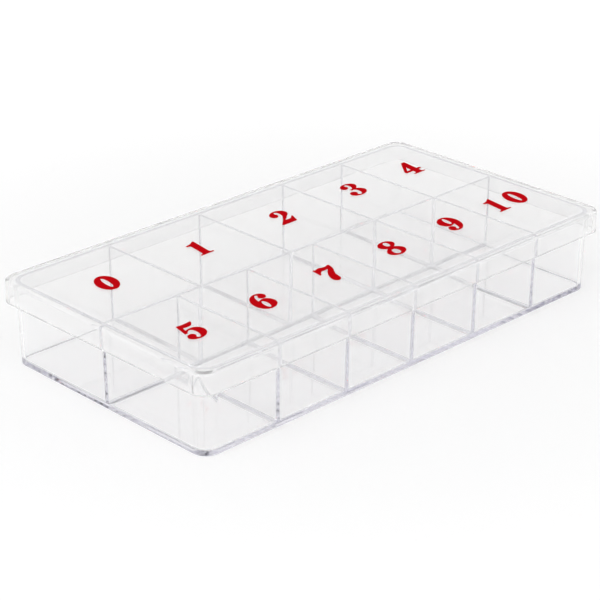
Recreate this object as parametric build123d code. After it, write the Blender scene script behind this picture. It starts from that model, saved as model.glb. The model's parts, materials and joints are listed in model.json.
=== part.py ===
from build123d import *
import os
from math import radians, tan

# Nail tip storage box: a clear moulded tray with eleven compartments and a lid that lifts off.
# X runs along the front, Y from the front to the back and Z up, in millimetres.
# The origin is the middle of the underside, on the surface that the box stands on.

# Tray, with its outside sizes taken at the rim
tray_length = 199.0
tray_width = 103.0
tray_height = 31.0
tray_corner_radius = 6.5
tray_wall = 1.6
floor_thickness = 1.4
foot_radius = 0.5
root_radius = 1.0
rim_edge_radius = 0.2

# Draft that lets the tray, its compartments and the lid leave their moulds, in degrees
wall_draft = 1.0
partition_draft = 0.4

# Compartments of each row from left to right, as shares of the row's length
front_row = (1, 1, 1, 1, 1, 1)
back_row = (4, 4, 4, 3, 3)
partition_tip = 1.2
partition_drop = 0.2

# Lid: a flat plate that rests over the rim, and a skirt that hangs round the tray's walls
plate_thickness = 1.6
skirt_wall = 1.6
skirt_depth = 7.1
lid_clearance = 0.8
lid_seat_gap = 0.1
lid_corner_slack = 2.3
plate_edge_radius = 0.8
skirt_root_radius = 0.5

# Heights and lengths that follow from them
partition_top = tray_height - partition_drop
plate_underside = tray_height + lid_seat_gap
lid_top = plate_underside + plate_thickness
skirt_bottom = plate_underside - skirt_depth
partition_root = partition_tip + 2 * (partition_top - floor_thickness) * tan(radians(partition_draft))
cavity_length = tray_length - 2 * tray_wall
cavity_width = tray_width - 2 * tray_wall


def tapered_block(length, width, corner, top, bottom, draft):
    """A block with rounded corners, of the stated size at its top, drawn in by the draft below it."""
    outline = Pos(0, 0, top) * RectangleRounded(length, width, corner)
    return extrude(outline, amount=top - bottom, dir=(0, 0, -1), taper=draft)


def lowest_edges(solid):
    return solid.edges().group_by(Axis.Z)[0]


def highest_edges(solid):
    return solid.edges().group_by(Axis.Z)[-1]


def tray_cavity():
    """The whole hollow of the tray, with its rounded corners and the fillet round its floor."""
    corner = tray_corner_radius - tray_wall
    hollow = tapered_block(cavity_length, cavity_width, corner, tray_height, floor_thickness, wall_draft)
    return fillet(lowest_edges(hollow), root_radius)


def tray_shell(cavity):
    """Floor and walls, rounded under the foot and at both edges of the rim."""
    block = tapered_block(tray_length, tray_width, tray_corner_radius, tray_height, 0, wall_draft)
    shell = fillet(lowest_edges(block), foot_radius) - cavity
    return fillet(highest_edges(shell), rim_edge_radius)


def partition_profile(plane):
    """The upright section of every partition, thicker at its root than at its tip."""
    height = partition_top - floor_thickness
    section = Trapezoid(partition_root, height, 90 - partition_draft, align=(Align.CENTER, Align.MIN))
    return plane * section


def long_slab():
    """The partition between the two rows, before it is cut to the cavity."""
    section = partition_profile(Plane.YZ.offset(-tray_length / 2))
    return Pos(0, 0, floor_thickness) * extrude(section, amount=tray_length)


def cross_slab(x, toward_back):
    """A partition across one row, from the middle of the tray to beyond its wall."""
    section = partition_profile(Plane.XZ)
    reach = extrude(section, amount=tray_width / 2, dir=(0, 1 if toward_back else -1, 0))
    return Pos(x, 0, floor_thickness) * reach


def partition_places(row):
    """The middle planes of the partitions that part a row's compartments, from left to right."""
    row_length = cavity_length + partition_tip
    left_end = -row_length / 2
    return [left_end + row_length * sum(row[:count]) / sum(row) for count in range(1, len(row))]


def lid():
    """A plate with a skirt all round, a little squarer at its corners than the tray."""
    inner_length = tray_length + 2 * lid_clearance
    inner_width = tray_width + 2 * lid_clearance
    inner_corner = tray_corner_radius - lid_corner_slack
    outer_length = inner_length + 2 * skirt_wall
    outer_width = inner_width + 2 * skirt_wall
    outer_corner = inner_corner + skirt_wall
    block = tapered_block(outer_length, outer_width, outer_corner, lid_top, skirt_bottom, -wall_draft)
    block = fillet(highest_edges(block), plate_edge_radius)
    hollow = tapered_block(
        inner_length, inner_width, inner_corner, plate_underside, skirt_bottom, -wall_draft
    )
    return block - fillet(highest_edges(hollow), skirt_root_radius)


def make_nodes():
    cavity = tray_cavity()
    long_wall = long_slab()
    nodes = {"tray_shell": tray_shell(cavity), "long_partition": long_wall & cavity}

    for name, row, toward_back in (("front_partition", front_row, False), ("back_partition", back_row, True)):
        for number, x in enumerate(partition_places(row), 1):
            nodes[f"{name}_{number}"] = (cross_slab(x, toward_back) & cavity) - long_wall

    nodes["lid"] = lid()
    return nodes


def main():
    os.makedirs("parts", exist_ok=True)
    for name, solid in make_nodes().items():
        export_step(solid, f"parts/{name}.step")
        size = solid.bounding_box().size
        print(f"{name}: {size.X:.2f} x {size.Y:.2f} x {size.Z:.2f} mm, {solid.volume / 1000:.2f} cm3")


main()
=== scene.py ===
import json
from math import cos, hypot, pi, radians, sin, tan

import bmesh
import bpy
from mathutils import Matrix, Vector
from mathutils.geometry import delaunay_2d_cdt


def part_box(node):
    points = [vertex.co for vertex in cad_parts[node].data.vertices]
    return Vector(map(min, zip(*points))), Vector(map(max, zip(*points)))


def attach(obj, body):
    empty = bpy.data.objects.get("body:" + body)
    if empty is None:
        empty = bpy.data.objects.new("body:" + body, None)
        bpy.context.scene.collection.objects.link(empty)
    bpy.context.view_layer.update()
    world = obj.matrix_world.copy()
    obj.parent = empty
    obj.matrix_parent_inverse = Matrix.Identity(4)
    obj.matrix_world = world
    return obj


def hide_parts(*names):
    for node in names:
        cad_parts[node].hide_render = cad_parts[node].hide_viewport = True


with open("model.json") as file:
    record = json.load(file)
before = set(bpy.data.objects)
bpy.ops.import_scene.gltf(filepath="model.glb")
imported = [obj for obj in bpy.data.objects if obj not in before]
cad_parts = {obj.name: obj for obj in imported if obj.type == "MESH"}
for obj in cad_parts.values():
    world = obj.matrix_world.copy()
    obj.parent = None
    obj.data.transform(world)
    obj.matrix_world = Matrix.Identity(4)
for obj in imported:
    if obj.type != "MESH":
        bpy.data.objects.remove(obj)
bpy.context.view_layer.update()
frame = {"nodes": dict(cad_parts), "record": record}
bodies = frame["record"]["behaviour"]["bodies"]

MM = 0.001

# Camera at the photograph's viewing angle
CAMERA_AZIMUTH = radians(-44.2)
CAMERA_ELEVATION = radians(24.5)
CAMERA_DISTANCE = 739.5 * MM
CAMERA_LENS = 120.2
CAMERA_SENSOR = 36
CAMERA_AIM_HEIGHT = 16.5 * MM
CAMERA_AIM_RIGHT = -4.65 * MM
CAMERA_AIM_UP = -6.7 * MM

# Studio: a white floor, a sky that is white low down and greyer overhead, and one large soft lamp.
# The floor is shown lighter than it is lit, by FLOOR_LIFTS at the two ends of FLOOR_RANGE, a distance from
# the origin. SKY_RANGE is the height of the sky's direction, and SKY_LEVELS its brightness at the two ends.
FLOOR_SIZE = 12.0
FLOOR_SEGMENTS = 8
FLOOR_GAP = 0.15 * MM
FLOOR_COLOUR = (0.85, 0.85, 0.85, 1)
FLOOR_RANGE = (0.08, 0.48)
FLOOR_LIFTS = (0.1, 0.3)
SKY_RANGE = (0.0, 0.8)
SKY_LEVELS = (1.0, 0.77)
LAMP_SIZE = 2.4
LAMP_PLACE = Vector((-0.9, -0.5, 1.2))
LAMP_POWER = 11.8
LIGHT_BOUNCES = 64

# Mouldings, with the drafts, thicknesses and radii that the frame's boxes don't give
WALL_DRAFT = tan(radians(1.0))
PARTITION_DRAFT = tan(radians(0.4))
FLOOR_THICKNESS = 1.4 * MM
FOOT_RADIUS = 0.5 * MM
FLOOR_ROOT_RADIUS = 1.0 * MM
RIM_RADIUS = 0.2 * MM
TIP_RADIUS = 0.25 * MM
TIP_LEDGE = 0.04 * MM
TRAY_CORNER = 6.5 * MM
CELL_CORNER = 0.3 * MM
LEAST_CORNER = 0.15 * MM
LID_CORNER = 5.8 * MM
SKIRT_WALL = 1.6 * MM
PLATE_THICKNESS = 1.6 * MM
PLATE_RADIUS = 1.2 * MM
SKIRT_ROOT_RADIUS = 0.5 * MM
SKIRT_EDGE_RADIUS = 0.2 * MM
CORNER_STEPS = 14
FILLET_STEPS = 6
SHARP_ANGLE = radians(40.0)
FLATS_WEIGHT = 100

# Kind of output that Blender's triangulation gives of a flat, and the distance at which it merges points
FILL_OUTPUT = 2
MERGE_DISTANCE = 1e-9

# Numbers printed on the lid, a little turned and slipped from the middles of the compartments
NUMBER_HEIGHT = 12.0 * MM
NUMBER_GAP = 3.9 * MM
NUMBER_SLANT = radians(9.6)
INK_DEPTH = 0.05 * MM
INK_THICKNESS = 1.6 * INK_DEPTH
PRINT_TURN = radians(1.2)
PRINT_SLIP = Vector((-0.7 * MM, 0.25 * MM))
OWN_SLIP = {"2": Vector((-1.3 * MM, -0.6 * MM)), "7": Vector((0.7 * MM, 0))}
CURVE_STEPS = 8
ROUND_HANDLE = 0.55
EASY_HANDLE = 0.37

# Outlines of the digits, drawn one unit tall, the outside first and then the holes. Each point is x, y and a
# kind: v has the curve upright there, h has it level, s follows its neighbours and c is a corner.
DIGITS = {
    "0": (
        "0.74,0.50,v 0.37,1.01,h 0.00,0.50,v 0.37,-0.01,h",
        "0.455,0.50,v 0.37,0.84,h 0.285,0.50,v 0.37,0.16,h",
    ),
    "1": (
        "0.03,0.00,c 0.55,0.00,c 0.55,0.07,c 0.50,0.07,h 0.425,0.15,v 0.425,1.00,c 0.35,1.00,c 0.25,0.915,s "
        "0.02,0.87,c 0.02,0.78,c 0.09,0.78,h 0.15,0.72,v 0.15,0.15,v 0.08,0.07,h 0.03,0.07,c",
    ),
    "2": (
        "0.00,0.00,c 0.60,0.00,c 0.70,0.38,c 0.63,0.38,c 0.50,0.26,h 0.29,0.26,c 0.52,0.46,s 0.71,0.73,v "
        "0.37,1.01,h 0.03,0.75,v 0.175,0.58,h 0.32,0.72,v 0.28,0.85,v 0.345,0.925,h 0.435,0.73,v 0.28,0.38,s "
        "0.00,0.09,c",
    ),
    "3": (
        "0.24,0.56,c 0.32,0.56,h 0.43,0.755,v 0.345,0.935,h 0.275,0.875,v 0.315,0.775,v 0.17,0.64,h "
        "0.03,0.785,v 0.35,1.01,h 0.68,0.765,v 0.52,0.53,c 0.72,0.27,v 0.335,-0.01,h 0.00,0.21,v "
        "0.15,0.375,h 0.30,0.23,v 0.255,0.125,v 0.335,0.065,h 0.455,0.27,v 0.32,0.475,h 0.24,0.475,c",
    ),
    "4": (
        "0.43,1.00,c 0.60,1.00,c 0.60,0.36,c 0.74,0.36,c 0.74,0.235,c 0.60,0.235,c 0.60,0.15,v "
        "0.66,0.065,h 0.72,0.065,c 0.72,0.00,c 0.20,0.00,c 0.20,0.065,c 0.27,0.065,h 0.33,0.15,v "
        "0.33,0.235,c 0.00,0.235,c 0.00,0.35,c",
        "0.33,0.36,c 0.33,0.62,c 0.155,0.36,c",
    ),
    "5": (
        "0.06,0.45,c 0.10,1.00,c 0.38,0.975,h 0.64,1.00,c 0.60,0.86,s 0.40,0.765,h 0.215,0.79,c 0.205,0.62,c "
        "0.40,0.665,h 0.72,0.33,v 0.33,-0.01,h 0.00,0.21,v 0.155,0.375,h 0.30,0.235,v 0.255,0.125,v "
        "0.325,0.065,h 0.435,0.33,v 0.305,0.575,h 0.15,0.45,c",
    ),
    "6": (
        "0.74,0.31,v 0.46,0.63,h 0.285,0.57,c 0.32,0.80,s 0.42,0.93,h 0.465,0.88,v 0.42,0.785,v 0.56,0.64,h "
        "0.705,0.79,v 0.43,1.01,h 0.00,0.48,v 0.375,-0.01,h",
        "0.455,0.30,v 0.37,0.52,h 0.285,0.30,v 0.37,0.08,h",
    ),
    "7": (
        "0.00,0.60,c 0.06,0.60,c 0.24,0.78,h 0.48,0.78,c 0.14,0.17,v 0.29,-0.01,h 0.44,0.17,v 0.68,0.97,v "
        "0.68,1.00,c 0.62,1.00,c 0.48,0.955,h 0.23,1.01,h 0.11,0.965,s 0.06,1.00,c 0.00,1.00,c",
    ),
    "8": (
        "0.225,0.525,c 0.00,0.26,v 0.365,-0.01,h 0.735,0.27,v 0.52,0.545,c 0.70,0.77,v 0.37,1.01,h "
        "0.035,0.765,v",
        "0.35,0.075,h 0.475,0.22,v 0.33,0.42,h 0.215,0.24,v",
        "0.395,0.93,h 0.495,0.79,v 0.41,0.64,h 0.295,0.80,v",
    ),
}
NINE_FROM = "6"

# Materials, with the scales and details of their noise patterns
PLASTIC_IOR = 1.59
PLASTIC_COLOUR = (0.997, 0.997, 0.997, 1)
TRAY_CLEARNESS = 1.0
TRAY_TINT = (0.855, 0.85, 0.905, 1)
TRAY_DENSITY = 17.0
LID_CLEARNESS = 0.83
LID_TINT = (0.9, 0.9, 0.91, 1)
LID_DENSITY = 6.0
WAVE_DEPTH = 0.006 * MM
WAVE_NOISE = (60, 2)
INK_RED = (0.56, 0.003, 0.006, 1)
INK_DEEP_RED = (0.42, 0.002, 0.006, 1)
INK_PATCH_NOISE = (450, 4)
INK_GRAIN_NOISE = (1500, 2)
INK_ROUGHNESS = (0.5, 0.75)

# Colour sockets of the Mix node
MIX_A, MIX_B, MIX_RESULT = 6, 7, 2


def new_object(name, bm):
    mesh = bpy.data.meshes.new(name)
    bmesh.ops.recalc_face_normals(bm, faces=bm.faces)
    bm.to_mesh(mesh)
    bm.free()
    made = bpy.data.objects.new(name, mesh)
    bpy.context.scene.collection.objects.link(made)
    return made


def inset(box, left, right=None, front=None, back=None):
    """The rectangle x0, x1, y0, y1 with its sides moved in, all by the same if only one is given."""
    right, front, back = (left if by is None else by for by in (right, front, back))
    x0, x1, y0, y1 = box
    return x0 + left, x1 - right, y0 + front, y1 - back


def rounded(box, radii, z):
    """Points round a rectangle, anticlockwise from its right back corner, with a radius for each corner."""
    x0, x1, y0, y1 = box
    corners = ((x1, y1, -1, -1), (x0, y1, 1, -1), (x0, y0, 1, 1), (x1, y0, -1, 1))
    points = []
    for turn, ((x, y, toward_x, toward_y), radius) in enumerate(zip(corners, radii)):
        for step in range(CORNER_STEPS + 1):
            angle = (turn + step / CORNER_STEPS) * pi / 2
            across = x + radius * (toward_x + cos(angle))
            along = y + radius * (toward_y + sin(angle))
            points.append(Vector((across, along, z)))
    return points


def leaves_flat():
    """A quarter turn that starts level and ends upright: shares of its radius done across and up."""
    for step in range(FILLET_STEPS + 1):
        angle = step / FILLET_STEPS * pi / 2
        yield sin(angle), 1 - cos(angle)


def leaves_upright():
    """A quarter turn that starts upright and ends level: shares of its radius done across and up."""
    for step in range(FILLET_STEPS + 1):
        angle = step / FILLET_STEPS * pi / 2
        yield 1 - cos(angle), sin(angle)


def stack(bm, rings):
    """Walls of quads through rings of points, and the vertices of each ring."""
    made = [[bm.verts.new(point) for point in ring] for ring in rings]
    for lower, upper in zip(made, made[1:]):
        for a in range(len(lower)):
            b = (a + 1) % len(lower)
            bm.faces.new((lower[a], lower[b], upper[b], upper[a]))
    return made


def is_inside(point, loop):
    """True if the point is within the loop, by counting the crossings to its right."""
    within = False
    for a, b in zip(loop, loop[1:] + loop[:1]):
        if (a.y > point.y) != (b.y > point.y):
            if point.x < a.x + (b.x - a.x) * (point.y - a.y) / (b.y - a.y):
                within = not within
    return within


def fill_between(bm, outer, holes):
    """A flat face between rings of vertices that are there already."""
    loops = [outer, *holes]
    verts = [vert for loop in loops for vert in loop]
    edges, start = [], 0
    for loop in loops:
        edges += [(start + k, start + (k + 1) % len(loop)) for k in range(len(loop))]
        start += len(loop)
    places = [vert.co.xy for vert in verts]
    outlines = [[vert.co.xy for vert in loop] for loop in loops]
    for face in delaunay_2d_cdt(places, edges, [], FILL_OUTPUT, MERGE_DISTANCE)[2]:
        middle = sum((places[k] for k in face), Vector((0, 0))) / len(face)
        if is_inside(middle, outlines[0]) and not any(is_inside(middle, hole) for hole in outlines[1:]):
            bm.faces.new([verts[k] for k in face])


def finish_moulding(piece):
    """Soft shading over the rounded edges, and flat shading on the flats."""
    piece.data.shade_smooth()
    piece.data.set_sharp_from_angle(angle=SHARP_ANGLE)
    even = piece.modifiers.new("even_flats", "WEIGHTED_NORMAL")
    even.keep_sharp = True
    even.weight = FLATS_WEIGHT
    return piece


def compartments(mouth, tip_half):
    """Each compartment's rectangle at the partitions' tips, and whether its four sides are tray walls."""
    x0, x1, y0, y1 = mouth
    for row, front, back in (("back", tip_half, y1), ("front", y0, -tip_half)):
        names = sorted(name for name in frame["nodes"] if name.startswith(f"{row}_partition_"))
        middles = [sum(corner.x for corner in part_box(name)) / 2 for name in names]
        lefts = [x0] + [x + tip_half for x in middles]
        rights = [x - tip_half for x in middles] + [x1]
        for number, (left, right) in enumerate(zip(lefts, rights)):
            walls = number == 0, number == len(middles), row == "front", row == "back"
            yield (left, right, front, back), walls


def compartment(bm, mouth, walls, tip):
    """The hollow of one compartment, drawn in towards its floor, and the vertices of its mouth."""
    left, right, front, back = walls
    corners = ((right, back), (left, back), (left, front), (right, front))
    shell_corner = TRAY_CORNER - tray_wall - TIP_LEDGE

    # Only the partitions are rounded at their tips, so only they move outward
    def ring(z, inward=0.0, outward=0.0):
        down = tip - z
        sides = [down * WALL_DRAFT + inward if wall else down * PARTITION_DRAFT + inward - outward
                 for wall in walls]
        radii = [(shell_corner - down * WALL_DRAFT if all(pair) else CELL_CORNER) - inward
                 for pair in corners]
        return rounded(inset(mouth, *sides), [max(radius, LEAST_CORNER) for radius in radii], z)

    rings = [ring(tip - TIP_RADIUS * down, outward=TIP_RADIUS * (1 - across))
             for across, down in leaves_flat()]
    rings += [ring(FLOOR_THICKNESS + FLOOR_ROOT_RADIUS * (1 - down), inward=FLOOR_ROOT_RADIUS * across)
              for across, down in leaves_upright()]
    made = stack(bm, rings)
    bm.faces.new(made[-1])
    return made[0]


def tray_moulding():
    """The whole tray as one moulding: floor, walls and partitions round its compartments."""
    top = tray_high.z
    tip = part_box("long_partition")[1].z
    rim = (tray_low.x, tray_high.x, tray_low.y, tray_high.y)

    def outside(z, inward=0.0):
        drawn = (top - z) * WALL_DRAFT + inward
        return rounded(inset(rim, drawn), [TRAY_CORNER - drawn] * 4, z)

    def inside(z, outward=0.0):
        drawn = tray_wall - outward
        return rounded(inset(rim, drawn), [TRAY_CORNER - drawn] * 4, z)

    rings = [outside(FOOT_RADIUS * up, FOOT_RADIUS * (1 - across)) for across, up in leaves_flat()]
    rings += [outside(top - RIM_RADIUS * (1 - up), RIM_RADIUS * across) for across, up in leaves_upright()]
    rings += [inside(top - RIM_RADIUS * down, RIM_RADIUS * (1 - across)) for across, down in leaves_flat()]
    # The last ring lies exactly level with the compartments' mouths
    rings[-1] = inside(tip)

    bm = bmesh.new()
    made = stack(bm, rings)
    bm.faces.new(made[0])
    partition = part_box("long_partition")
    tip_half = (partition[1].y - partition[0].y) / 2 - (tip - FLOOR_THICKNESS) * PARTITION_DRAFT
    cells = [compartment(bm, mouth, walls, tip)
             for mouth, walls in compartments(inset(rim, tray_wall + TIP_LEDGE), tip_half)]
    fill_between(bm, made[-1], cells)
    return finish_moulding(new_object("tray_moulding", bm))


def lid_moulding():
    """The lid's plate with its skirt as one moulding, its top lower than the frame's by the ink's depth."""
    low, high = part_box("lid")
    top = high.z - INK_DEPTH
    underside = high.z - PLATE_THICKNESS
    foot = (low.x, high.x, low.y, high.y)

    def ring(z, inward):
        drawn = (z - low.z) * WALL_DRAFT + inward
        corner = LID_CORNER + (high.z - z) * WALL_DRAFT - inward
        return rounded(inset(foot, drawn), [corner] * 4, z)

    rings = [ring(underside - SKIRT_ROOT_RADIUS * down, SKIRT_WALL + SKIRT_ROOT_RADIUS * (1 - across))
             for across, down in leaves_flat()]
    rings += [ring(low.z + SKIRT_EDGE_RADIUS * (1 - down), SKIRT_WALL - SKIRT_EDGE_RADIUS * across)
              for across, down in leaves_upright()]
    rings += [ring(low.z + SKIRT_EDGE_RADIUS * up, SKIRT_EDGE_RADIUS * (1 - across))
              for across, up in leaves_flat()]
    rings += [ring(top - PLATE_RADIUS * (1 - up), PLATE_RADIUS * across) for across, up in leaves_upright()]

    bm = bmesh.new()
    made = stack(bm, rings)
    bm.faces.new(made[0])
    bm.faces.new(made[-1])
    return finish_moulding(new_object("lid_moulding", bm))


def outline(words):
    """A digit's closed outline as a list of points, from its drawing."""
    points = [(float(x), float(y), kind) for x, y, kind in (word.split(",") for word in words.split())]
    count = len(points)

    def handle(k, other):
        x, y, kind = points[k]
        other_x, other_y = points[other][:2]
        if kind == "h":
            return x + ROUND_HANDLE * (other_x - x), y
        if kind == "v":
            return x, y + ROUND_HANDLE * (other_y - y)
        if kind == "c":
            return x, y
        before, after = points[k - 1], points[(k + 1) % count]
        back, on = hypot(x - before[0], y - before[1]), hypot(after[0] - x, after[1] - y)
        dx = (x - before[0]) / back + (after[0] - x) / on
        dy = (y - before[1]) / back + (after[1] - y) / on
        reach = EASY_HANDLE * hypot(other_x - x, other_y - y) / hypot(dx, dy)
        if other != (k + 1) % count:
            reach = -reach
        return x + dx * reach, y + dy * reach

    made = []
    for k in range(count):
        n = (k + 1) % count
        ends = points[k][:2], handle(k, n), handle(n, k), points[n][:2]
        steps = 1 if ends[0] == ends[1] and ends[2] == ends[3] else CURVE_STEPS
        for step in range(steps):
            t = step / steps
            shares = (1 - t) ** 3, 3 * (1 - t) ** 2 * t, 3 * (1 - t) * t ** 2, t ** 3
            made.append(Vector((
                sum(share * end[0] for share, end in zip(shares, ends)),
                sum(share * end[1] for share, end in zip(shares, ends)),
            )))
    return made


def digit_outlines(digit):
    """All outlines of a digit, the 9 being the 6 turned half round."""
    if digit in DIGITS:
        return [outline(words) for words in DIGITS[digit]]
    source = digit_outlines(NINE_FROM)
    width = max(point.x for point in source[0])
    return [[Vector((width - point.x, 1 - point.y)) for point in loop] for loop in source]


def printed_number(text, middle):
    """A number as a thin layer of ink, level with the frame's top and set a little into the lid's plate."""
    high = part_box("lid")[1].z
    digits, x = [], 0.0
    for digit in text:
        loops = digit_outlines(digit)
        digits.append((loops, x))
        x += max(point.x for point in loops[0]) * NUMBER_HEIGHT + NUMBER_GAP
    half = Vector(((x - NUMBER_GAP) / 2, NUMBER_HEIGHT / 2))
    turn = Matrix.Rotation(PRINT_TURN, 2)
    lean = Matrix(((1, tan(NUMBER_SLANT)), (0, 1)))
    place = turn @ middle + PRINT_SLIP + OWN_SLIP.get(text, Vector((0, 0)))
    bm = bmesh.new()
    for loops, start in digits:
        tops, bottoms = [], []
        for loop in loops:
            flat = [place + turn @ lean @ (point * NUMBER_HEIGHT + Vector((start, 0)) - half)
                    for point in loop]
            bottom, top = stack(bm, [[point.to_3d() + Vector((0, 0, z)) for point in flat]
                                     for z in (high - INK_THICKNESS, high)])
            bottoms.append(bottom)
            tops.append(top)
        fill_between(bm, tops[0], tops[1:])
        fill_between(bm, bottoms[0], bottoms[1:])
    return new_object(f"number_{text}", bm)


def new_material(name):
    material = bpy.data.materials.new(name)
    material.use_nodes = True
    return material, material.node_tree.nodes, material.node_tree.links


def noise(nodes, links, pattern, vector):
    """A noise pattern, given by its scale and detail."""
    made = nodes.new("ShaderNodeTexNoise")
    made.inputs["Scale"].default_value, made.inputs["Detail"].default_value = pattern
    links.new(vector, made.inputs["Vector"])
    return made.outputs["Fac"]


def ramp(nodes, links, value, before, after, interpolation="LINEAR"):
    """A value taken from the range before to the range after, and held at its ends."""
    made = nodes.new("ShaderNodeMapRange")
    made.interpolation_type = interpolation
    made.inputs["From Min"].default_value, made.inputs["From Max"].default_value = before
    made.inputs["To Min"].default_value, made.inputs["To Max"].default_value = after
    links.new(value, made.inputs["Value"])
    return made.outputs["Result"]


def joined(nodes, links, operation, first, second):
    """Two values joined into one by an operation of arithmetic."""
    made = nodes.new("ShaderNodeMath")
    made.operation = operation
    links.new(first, made.inputs[0])
    links.new(second, made.inputs[1])
    return made.outputs[0]


def clear_plastic(name, clearness, tint, density):
    """Moulded polystyrene whose tint gathers along its edges, with very slightly wavy faces. A clearness
    below one makes it a little milky."""
    material, nodes, links = new_material(name)
    shader = nodes["Principled BSDF"]
    shader.inputs["Base Color"].default_value = PLASTIC_COLOUR
    shader.inputs["Roughness"].default_value = 0.0
    shader.inputs["IOR"].default_value = PLASTIC_IOR
    shader.inputs["Transmission Weight"].default_value = clearness
    place = nodes.new("ShaderNodeTexCoord").outputs["Object"]
    bump = nodes.new("ShaderNodeBump")
    bump.inputs["Distance"].default_value = WAVE_DEPTH
    links.new(noise(nodes, links, WAVE_NOISE, place), bump.inputs["Height"])
    links.new(bump.outputs["Normal"], shader.inputs["Normal"])
    absorb = nodes.new("ShaderNodeVolumeAbsorption")
    absorb.inputs["Color"].default_value = tint
    absorb.inputs["Density"].default_value = density
    links.new(absorb.outputs["Volume"], nodes["Material Output"].inputs["Volume"])
    return material


def number_ink():
    """Matt red printing ink that lies a little unevenly."""
    material, nodes, links = new_material("number_ink")
    shader = nodes["Principled BSDF"]
    shader.inputs["Specular IOR Level"].default_value = 0.0
    place = nodes.new("ShaderNodeTexCoord").outputs["Object"]
    red = nodes.new("ShaderNodeMix")
    red.data_type = "RGBA"
    red.inputs[MIX_A].default_value = INK_DEEP_RED
    red.inputs[MIX_B].default_value = INK_RED
    links.new(noise(nodes, links, INK_PATCH_NOISE, place), red.inputs["Factor"])
    links.new(red.outputs[MIX_RESULT], shader.inputs["Base Color"])
    grain = noise(nodes, links, INK_GRAIN_NOISE, place)
    links.new(ramp(nodes, links, grain, (0.0, 1.0), INK_ROUGHNESS), shader.inputs["Roughness"])
    return material


def floor():
    """The white floor, which the camera sees lighter than it is lit, also in the plastic and through it."""
    bm = bmesh.new()
    bmesh.ops.create_grid(bm, x_segments=FLOOR_SEGMENTS, y_segments=FLOOR_SEGMENTS, size=FLOOR_SIZE / 2)
    made = new_object("floor", bm)
    made.location.z = -FLOOR_GAP
    material, nodes, links = new_material("floor")
    nodes.clear()
    path = nodes.new("ShaderNodeLightPath")
    seen = path.outputs["Is Camera Ray"]
    for ray in ("Is Glossy Ray", "Is Transmission Ray"):
        seen = joined(nodes, links, "MAXIMUM", seen, path.outputs[ray])
    away = nodes.new("ShaderNodeVectorMath")
    away.operation = "LENGTH"
    links.new(nodes.new("ShaderNodeTexCoord").outputs["Object"], away.inputs[0])
    rise = ramp(nodes, links, away.outputs["Value"], FLOOR_RANGE, FLOOR_LIFTS, "SMOOTHSTEP")
    diffuse = nodes.new("ShaderNodeBsdfDiffuse")
    diffuse.inputs["Color"].default_value = FLOOR_COLOUR
    emission = nodes.new("ShaderNodeEmission")
    links.new(joined(nodes, links, "MULTIPLY", seen, rise), emission.inputs["Strength"])
    both = nodes.new("ShaderNodeAddShader")
    links.new(diffuse.outputs[0], both.inputs[0])
    links.new(emission.outputs[0], both.inputs[1])
    output = nodes.new("ShaderNodeOutputMaterial")
    links.new(both.outputs[0], output.inputs["Surface"])
    made.data.materials.append(material)


def studio():
    """The sky, the lamp, which the lid and the tray don't mirror, and how far light is followed."""
    world = bpy.data.worlds.new("studio")
    world.use_nodes = True
    nodes, links = world.node_tree.nodes, world.node_tree.links
    split = nodes.new("ShaderNodeSeparateXYZ")
    links.new(nodes.new("ShaderNodeTexCoord").outputs["Generated"], split.inputs[0])
    level = ramp(nodes, links, split.outputs["Z"], SKY_RANGE, SKY_LEVELS, "SMOOTHSTEP")
    links.new(level, nodes["Background"].inputs["Strength"])
    nodes["Background"].inputs["Color"].default_value = (1, 1, 1, 1)
    bpy.context.scene.world = world

    lamp = bpy.data.lights.new("soft_lamp", "AREA")
    lamp.size = LAMP_SIZE
    lamp.energy = LAMP_POWER
    held = bpy.data.objects.new("soft_lamp", lamp)
    held.location = LAMP_PLACE
    held.rotation_mode = "QUATERNION"
    held.rotation_quaternion = (-LAMP_PLACE).to_track_quat("-Z", "Y")
    held.visible_glossy = False
    bpy.context.scene.collection.objects.link(held)

    cycles = bpy.context.scene.cycles
    cycles.blur_glossy = 0.0
    cycles.max_bounces = LIGHT_BOUNCES
    cycles.diffuse_bounces = LIGHT_BOUNCES
    cycles.glossy_bounces = LIGHT_BOUNCES
    cycles.transmission_bounces = LIGHT_BOUNCES
    bpy.context.scene.view_settings.view_transform = "Standard"


def camera():
    data = bpy.data.cameras.new("camera")
    data.lens = CAMERA_LENS
    data.sensor_width = CAMERA_SENSOR
    held = bpy.data.objects.new("camera", data)
    back = Vector((
        sin(CAMERA_AZIMUTH) * cos(CAMERA_ELEVATION),
        -cos(CAMERA_AZIMUTH) * cos(CAMERA_ELEVATION),
        sin(CAMERA_ELEVATION),
    ))
    right = (-back).cross(Vector((0, 0, 1))).normalized()
    up = right.cross(-back)
    aim = Vector((0, 0, CAMERA_AIM_HEIGHT)) + right * CAMERA_AIM_RIGHT + up * CAMERA_AIM_UP
    held.location = aim + back * CAMERA_DISTANCE
    held.rotation_mode = "QUATERNION"
    held.rotation_quaternion = (-back).to_track_quat("-Z", "Y")
    bpy.context.scene.collection.objects.link(held)
    bpy.context.scene.camera = held


tray_low, tray_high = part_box("tray_shell")
tray_wall = tray_high.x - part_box("long_partition")[1].x

tray = tray_moulding()
tray.data.materials.append(clear_plastic("clear_tray", TRAY_CLEARNESS, TRAY_TINT, TRAY_DENSITY))
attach(tray, "tray")
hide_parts(*bodies["tray"])

lid = lid_moulding()
lid.data.materials.append(clear_plastic("clear_lid", LID_CLEARNESS, LID_TINT, LID_DENSITY))
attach(lid, "lid")
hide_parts(*bodies["lid"])

ink = number_ink()
inner = inset((tray_low.x, tray_high.x, tray_low.y, tray_high.y), tray_wall)
for count, ((left, right, front, back), _) in enumerate(compartments(inner, 0.0)):
    number = printed_number(str(count), Vector(((left + right) / 2, (front + back) / 2)))
    number.data.materials.append(ink)
    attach(number, "lid")

floor()
studio()
camera()
